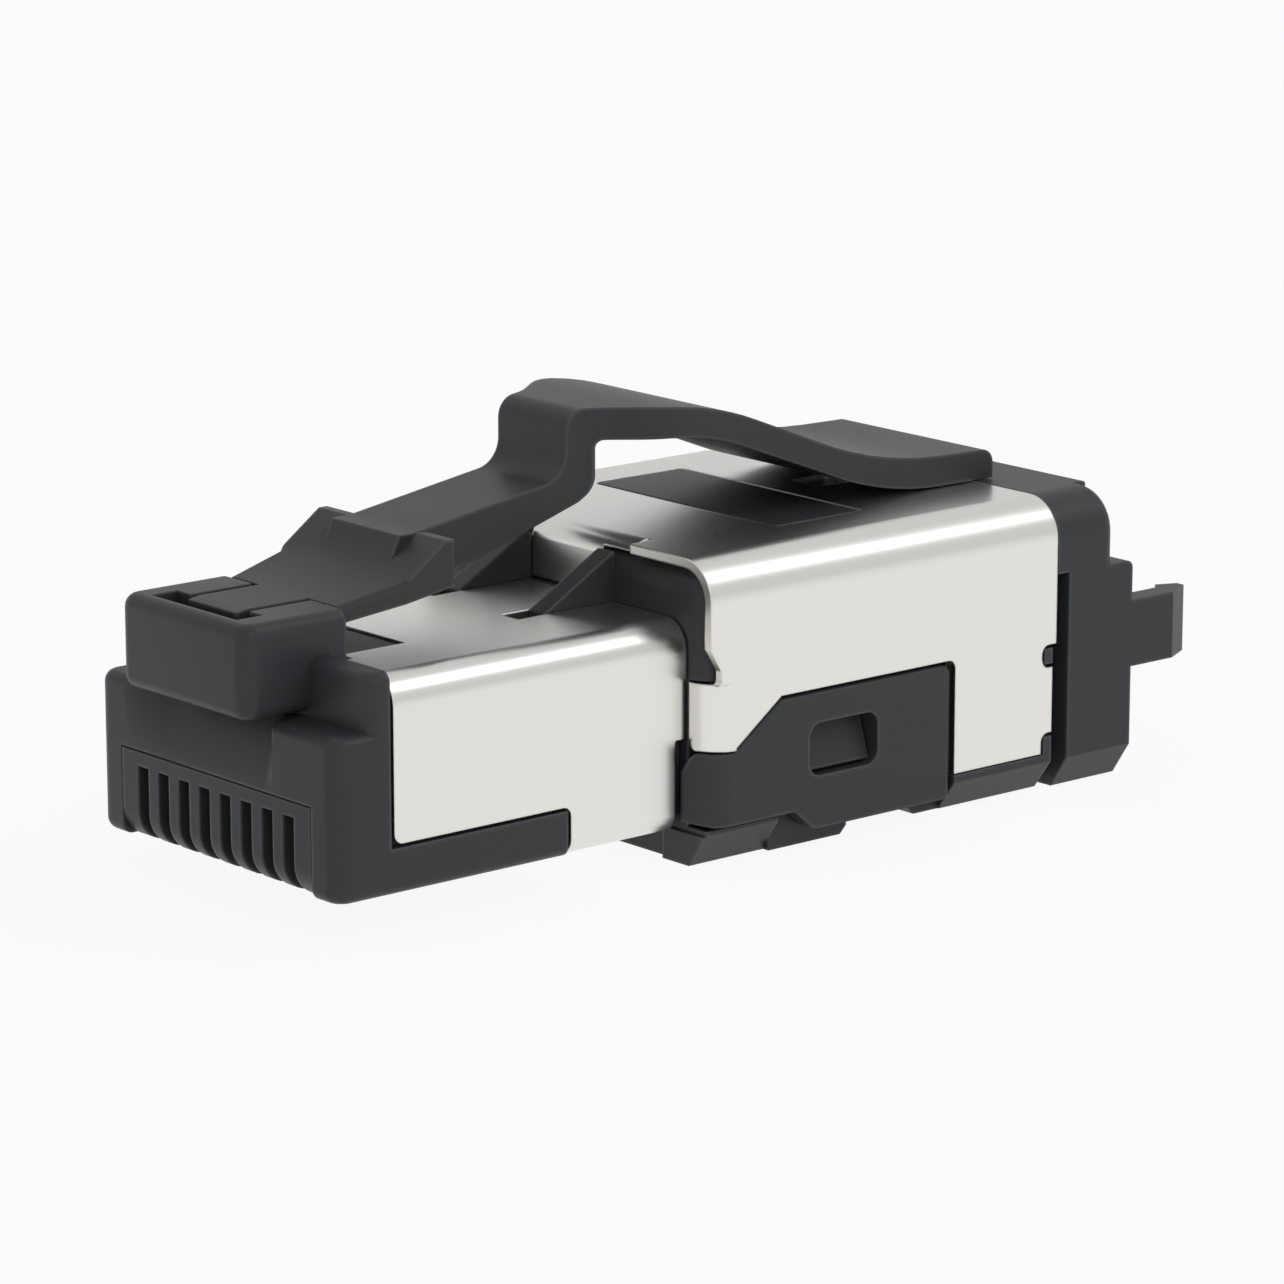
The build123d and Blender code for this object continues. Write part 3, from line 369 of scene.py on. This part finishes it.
def welded_copy(node_name):
    """A bmesh with the node's shape, its split corners joined again."""
    shape = bmesh.new()
    shape.from_mesh(nodes[node_name].data)
    bmesh.ops.remove_doubles(shape, verts=shape.verts, dist=WELD_MM * MM)
    return shape


def same_surface(edge):
    """True where both faces beside an edge belong to one smooth surface."""
    if len(edge.link_faces) != 2:
        return False
    first, second = edge.link_faces
    return first.material_index == second.material_index and edge.calc_face_angle() < SHARP


def new_piece(name, shape, material):
    """A piece from a bmesh, smooth except along sharp edges and where its surfaces change."""
    for edge in shape.edges:
        edge.smooth = same_surface(edge)
    for face in shape.faces:
        face.smooth = True
        face.material_index = 0
    mesh = bpy.data.meshes.new(name)
    shape.to_mesh(mesh)
    shape.free()
    if "custom_normal" in mesh.attributes:
        mesh.attributes.remove(mesh.attributes["custom_normal"])
    mesh.materials.append(material)
    return add_object(name, mesh)


print("edges are sharp from", round(math.degrees(SHARP)), "degrees")

# %% Build the bending lever
FIRST_CUT_MM = 6.6
CUT_STEP_MM = 0.45
CUTS = 46

rod = welded_copy("latch_lever")
for step in range(CUTS):
    place = ((FIRST_CUT_MM + CUT_STEP_MM * step) * MM, 0, 0)
    everything = rod.verts[:] + rod.edges[:] + rod.faces[:]
    bmesh.ops.bisect_plane(rod, geom=everything, plane_co=place, plane_no=(1, 0, 0))
lever = new_piece("lever_bending", rod, moulded_plastic("lever_plastic"))
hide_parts("latch_lever")
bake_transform(lever)
print("lever faces:", len(lever.data.polygons))

# %% [markdown]
# ## The scoop under the latch block
#
# The nose's front face is scooped out under the block: it runs back as it rises, and it fades
# into the flat face below. The near end stops at a little ledge, and the far end dies out softly.
# The scoop could be sculpted by hand, but one formula for its depth says the same in a few
# numbers. The surface of that formula is closed into a cutter, and a Boolean modifier takes the
# cutter out of a copy of the nose.

# %% Write the depth of the scoop
UNDER = -3.2  # the nose's underside in the frame; the heights below are measured from it
SCOOP_LOW = 2.78
SCOOP_HIGH = 4.94
SCOOP_DEEP = 0.8
SCOOP_CURVE = 1.6
SCOOP_NEAR = -2.85
SCOOP_FAR = 4.6
NEAR_FADE = 0.35
FAR_FADE = 2.4
CLEAR = 0.005  # how far the cutter stays off the flat face where nothing is cut


def smooth(share):
    """A soft step that runs from 0 to 1 as the share does."""
    share = min(max(share, 0), 1)
    return share * share * (3 - 2 * share)


def scoop_depth(y, height):
    """How far the scoop goes in behind the front face, in mm, a little negative at its ends."""
    climb = (height - SCOOP_LOW) / (SCOOP_HIGH - SCOOP_LOW)
    ends = smooth((y - SCOOP_NEAR) / NEAR_FADE) * smooth((SCOOP_FAR - y) / FAR_FADE)
    return -CLEAR + (CLEAR + SCOOP_DEEP * climb**SCOOP_CURVE) * ends


print("deepest in mm:", round(scoop_depth(0, SCOOP_HIGH), 2))

# %% Shape the cutter
ROWS = 24
COLUMNS = 64
CUTTER_FRONT = -0.6

cutter = bmesh.new()
grid = []
for row in range(ROWS + 1):
    height = SCOOP_LOW + (SCOOP_HIGH - SCOOP_LOW) * row / ROWS
    line = []
    for column in range(COLUMNS + 1):
        y = SCOOP_NEAR + (SCOOP_FAR - SCOOP_NEAR) * column / COLUMNS
        point = (scoop_depth(y, height) * MM, y * MM, (height + UNDER) * MM)
        line.append(cutter.verts.new(point))
    grid.append(line)
for low, high in zip(grid, grid[1:]):
    for column in range(COLUMNS):
        cutter.faces.new((low[column], low[column + 1], high[column + 1], high[column]))
pulled = bmesh.ops.extrude_face_region(cutter, geom=cutter.faces[:])
for item in pulled["geom"]:
    if isinstance(item, bmesh.types.BMVert):
        item.co.x = CUTTER_FRONT * MM
bmesh.ops.recalc_face_normals(cutter, faces=cutter.faces)
for face in cutter.faces:
    face.material_index = 1  # tells the cut surface from the nose's own faces
print("cutter faces:", len(cutter.faces))

# %% Cut it out of the nose
cutter_mesh = bpy.data.meshes.new("scoop")
cutter.to_mesh(cutter_mesh)
cutter.free()
scoop = add_object("scoop", cutter_mesh)
whole = new_piece("nose_whole", welded_copy("nose_housing"), None)
knife = whole.modifiers.new("scoop", "BOOLEAN")
knife.object = scoop
knife.operation = "DIFFERENCE"
knife.solver = "EXACT"
evaluated = whole.evaluated_get(bpy.context.evaluated_depsgraph_get())
shape = bmesh.new()
shape.from_mesh(bpy.data.meshes.new_from_object(evaluated))
nose = new_piece("nose_scooped", shape, moulded_plastic("nose_plastic"))
bpy.data.objects.remove(whole)
bpy.data.objects.remove(scoop)
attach(nose, "plug")
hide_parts("nose_housing")
print("nose faces:", len(nose.data.polygons))

# %% [markdown]
# ## The contact carrier
#
# The carrier is the insert that holds the eight contacts, with a rib between each two. The ribs
# stand a little below the nose. Their feet could be modelled again, but moving the lowest points
# of a copy is enough: the lower a point lies, the further it goes down.

# %% Lower the ribs
RIB_DROP = 0.09
RIB_FOOT = 0.9

ribs = welded_copy("contact_carrier")
for vertex in ribs.verts:
    height = vertex.co.z / MM - UNDER
    if height < RIB_FOOT:
        vertex.co.z -= RIB_DROP * MM * (1 - height / RIB_FOOT)
carrier = new_piece("carrier_ribbed", ribs, moulded_plastic("carrier_plastic"))
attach(carrier, "plug")
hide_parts("contact_carrier")
print("carrier faces:", len(carrier.data.polygons))

# %% [markdown]
# ## Contacts, terminals and the parts inside
#
# The contacts are gold over nickel, the terminals are tinned, the ring is bronze and the divider
# is foil. The board is green laminate, the seal is black rubber, and the pieces that an installer
# handles are pale natural plastic. Each could have a finish of its own, but they are small or
# hidden, so one recipe for metal and one for the rest are called with other colours.

# %% Metal of the contacts and terminals
MARK_DETAIL = 3
WORN = (0.95, 0.93, 0.9, 1)
WEAR_LIGHTENS = 0.2
WEAR_ROUGHENS = 0.08
WEAR_DEPTH_MM = 0.001
METAL_EDGE_MM = 0.04
WIRES = 8


def plain_metal(name, colour, roughness, mark_mm):
    finish = Finish(name)
    marks = finish.noise(mark_mm, MARK_DETAIL)
    sockets = {
        "Base Color": finish.blend(WEAR_LIGHTENS * marks, colour, WORN),
        "Metallic": 1.0,
        "Roughness": roughness + WEAR_ROUGHENS * marks,
        "Normal": finish.bump(marks, WEAR_DEPTH_MM, finish.rounded(METAL_EDGE_MM)),
    }
    return finish.surface(sockets)


gold = plain_metal("contact_gold", (0.83, 0.62, 0.28, 1), roughness=0.22, mark_mm=0.3)
tin = plain_metal("terminal_tin", (0.70, 0.69, 0.67, 1), roughness=0.3, mark_mm=0.3)
bronze = plain_metal("ring_bronze", (0.72, 0.66, 0.55, 1), roughness=0.3, mark_mm=0.4)
foil = plain_metal("divider_foil", (0.72, 0.72, 0.73, 1), roughness=0.35, mark_mm=0.5)
metal_of = {"screen_ring": bronze, "pair_divider": foil}
for number in range(1, WIRES + 1):
    metal_of[f"contact_{number}"] = gold
    metal_of[f"terminal_{number}"] = tin
for node_name, metal in metal_of.items():
    dress(node_name, metal)
print("metal pieces dressed:", len(metal_of))

# %% Board, pale plastic and rubber
SOFT_ROUGHENS = 0.1
SOFT_DEPTH_MM = 0.004
SOFT_EDGE_MM = 0.05


def soft_surface(name, colour, second, roughness, mark_mm):
    finish = Finish(name)
    marks = finish.noise(mark_mm, MARK_DETAIL)
    sockets = {
        "Base Color": finish.blend(marks, colour, second),
        "Roughness": roughness + SOFT_ROUGHENS * marks,
        "Normal": finish.bump(marks, SOFT_DEPTH_MM, finish.rounded(SOFT_EDGE_MM)),
    }
    return finish.surface(sockets)


# each row: node, material, two colours that the marks go between, roughness, size of a mark in mm
soft_rows = (
    ("circuit_board", "board_lacquer", (0.02, 0.13, 0.05, 1), (0.03, 0.18, 0.07, 1), 0.3, 1.0),
    ("terminal_block", "block_plastic", (0.62, 0.62, 0.6, 1), (0.68, 0.68, 0.65, 1), 0.45, 0.5),
    ("wire_organiser", "organiser_plastic", (0.66, 0.66, 0.64, 1), (0.72, 0.72, 0.7, 1), 0.45, 0.5),
    ("sealing_ring", "seal_rubber", (0.018, 0.018, 0.019, 1), (0.03, 0.03, 0.03, 1), 0.6, 0.2),
)
for node_name, *recipe in soft_rows:
    dress(node_name, soft_surface(*recipe))
print("other inner pieces dressed:", len(soft_rows))

# %% [markdown]
# ## The floor
#
# The plug stands on a wide sheet of white paper. Enough light on the floor would make it white
# too, but it would bleach the plug. So cameras, mirrors and glass see paper that glows white by
# itself, and all other light meets matt paper. A little of the matt paper is mixed in for them
# as well, so that the shadow under the plug stays.

# %% Lay the floor
FLOOR_HALF_MM = 1500
FLOOR_GAP_MM = 0.02
GRAIN_MM = 8
PAPER = (0.86, 0.86, 0.86, 1)
PALE_PAPER = (0.88, 0.88, 0.88, 1)
WHITE = (1, 1, 1, 1)
WHITE_SHARE = 0.92

far = FLOOR_HALF_MM * MM
floor_z = cad_low.z - FLOOR_GAP_MM * MM
corners = [(x, y, floor_z) for x, y in ((-far, -far), (far, -far), (far, far), (-far, far))]
floor_mesh = bpy.data.meshes.new("floor")
floor_mesh.from_pydata(corners, [], [(0, 1, 2, 3)])
floor = add_object("floor", floor_mesh)

paper = Finish("floor_paper")
watched = paper.ray("Camera") + paper.ray("Glossy") + paper.ray("Transmission")
tone = paper.blend(paper.noise(GRAIN_MM), PAPER, PALE_PAPER)
matt = paper.node("ShaderNodeBsdfDiffuse", sockets={"Color": tone})
white = paper.node("ShaderNodeEmission", sockets={"Color": WHITE, "Strength": 1.0})
mixed = paper.node("ShaderNodeMixShader", sockets={0: WHITE_SHARE * watched, 1: matt, 2: white})
floor_mesh.materials.append(paper.output(mixed))
print("floor height in mm:", round(floor_z / MM, 2))

# %% [markdown]
# ## World and lamps
#
# The world gives soft light from all sides. The camera and glass see it as white, and mirrors
# see it a little less bright, which keeps the tops of the screens from washing out. Small lamps
# would draw hard edges on the metal, so two large soft ones shape the light: one high over the
# cable end, which draws the bright band along the folds, and a weaker one beside the plug.

# %% Set the world
WORLD_LIGHT = 0.528
MIRRORED_LIGHT = 0.72

world = bpy.data.worlds.new("studio_world")
bpy.context.scene.world = world
sky = Finish("studio_world", world)
seen = (sky.ray("Camera") + sky.ray("Transmission")) * (1 - WORLD_LIGHT)
mirrored = sky.ray("Glossy") * (MIRRORED_LIGHT - WORLD_LIGHT)
glow = {"Color": WHITE, "Strength": WORLD_LIGHT + seen + mirrored}
sky.output(sky.node("ShaderNodeBackground", sockets=glow), "ShaderNodeOutputWorld")
print("world:", bpy.context.scene.world.name)


# %% Hang the lamps
def soft_lamp(name, place_mm, size_mm, radiance):
    """A square lamp that faces the plug; its watts follow from how bright its face looks."""
    size = size_mm * MM
    data = bpy.data.lights.new(name, "AREA")
    data.shape = "SQUARE"
    data.size = size
    data.energy = radiance * math.pi * size * size
    aim = (cad_low + cad_high) / 2 - Vector(place_mm) * MM
    look_along(add_object(name, data), place_mm, aim)
    return data


overhead = soft_lamp("overhead", place_mm=(235, -165, 290), size_mm=160, radiance=1.9)
side_fill = soft_lamp("side_fill", place_mm=(-60, -300, 200), size_mm=200, radiance=0.9)
print("watts:", [round(lamp.energy, 3) for lamp in (overhead, side_fill)])

# %% [markdown] The dressed model has to keep the solids' size.
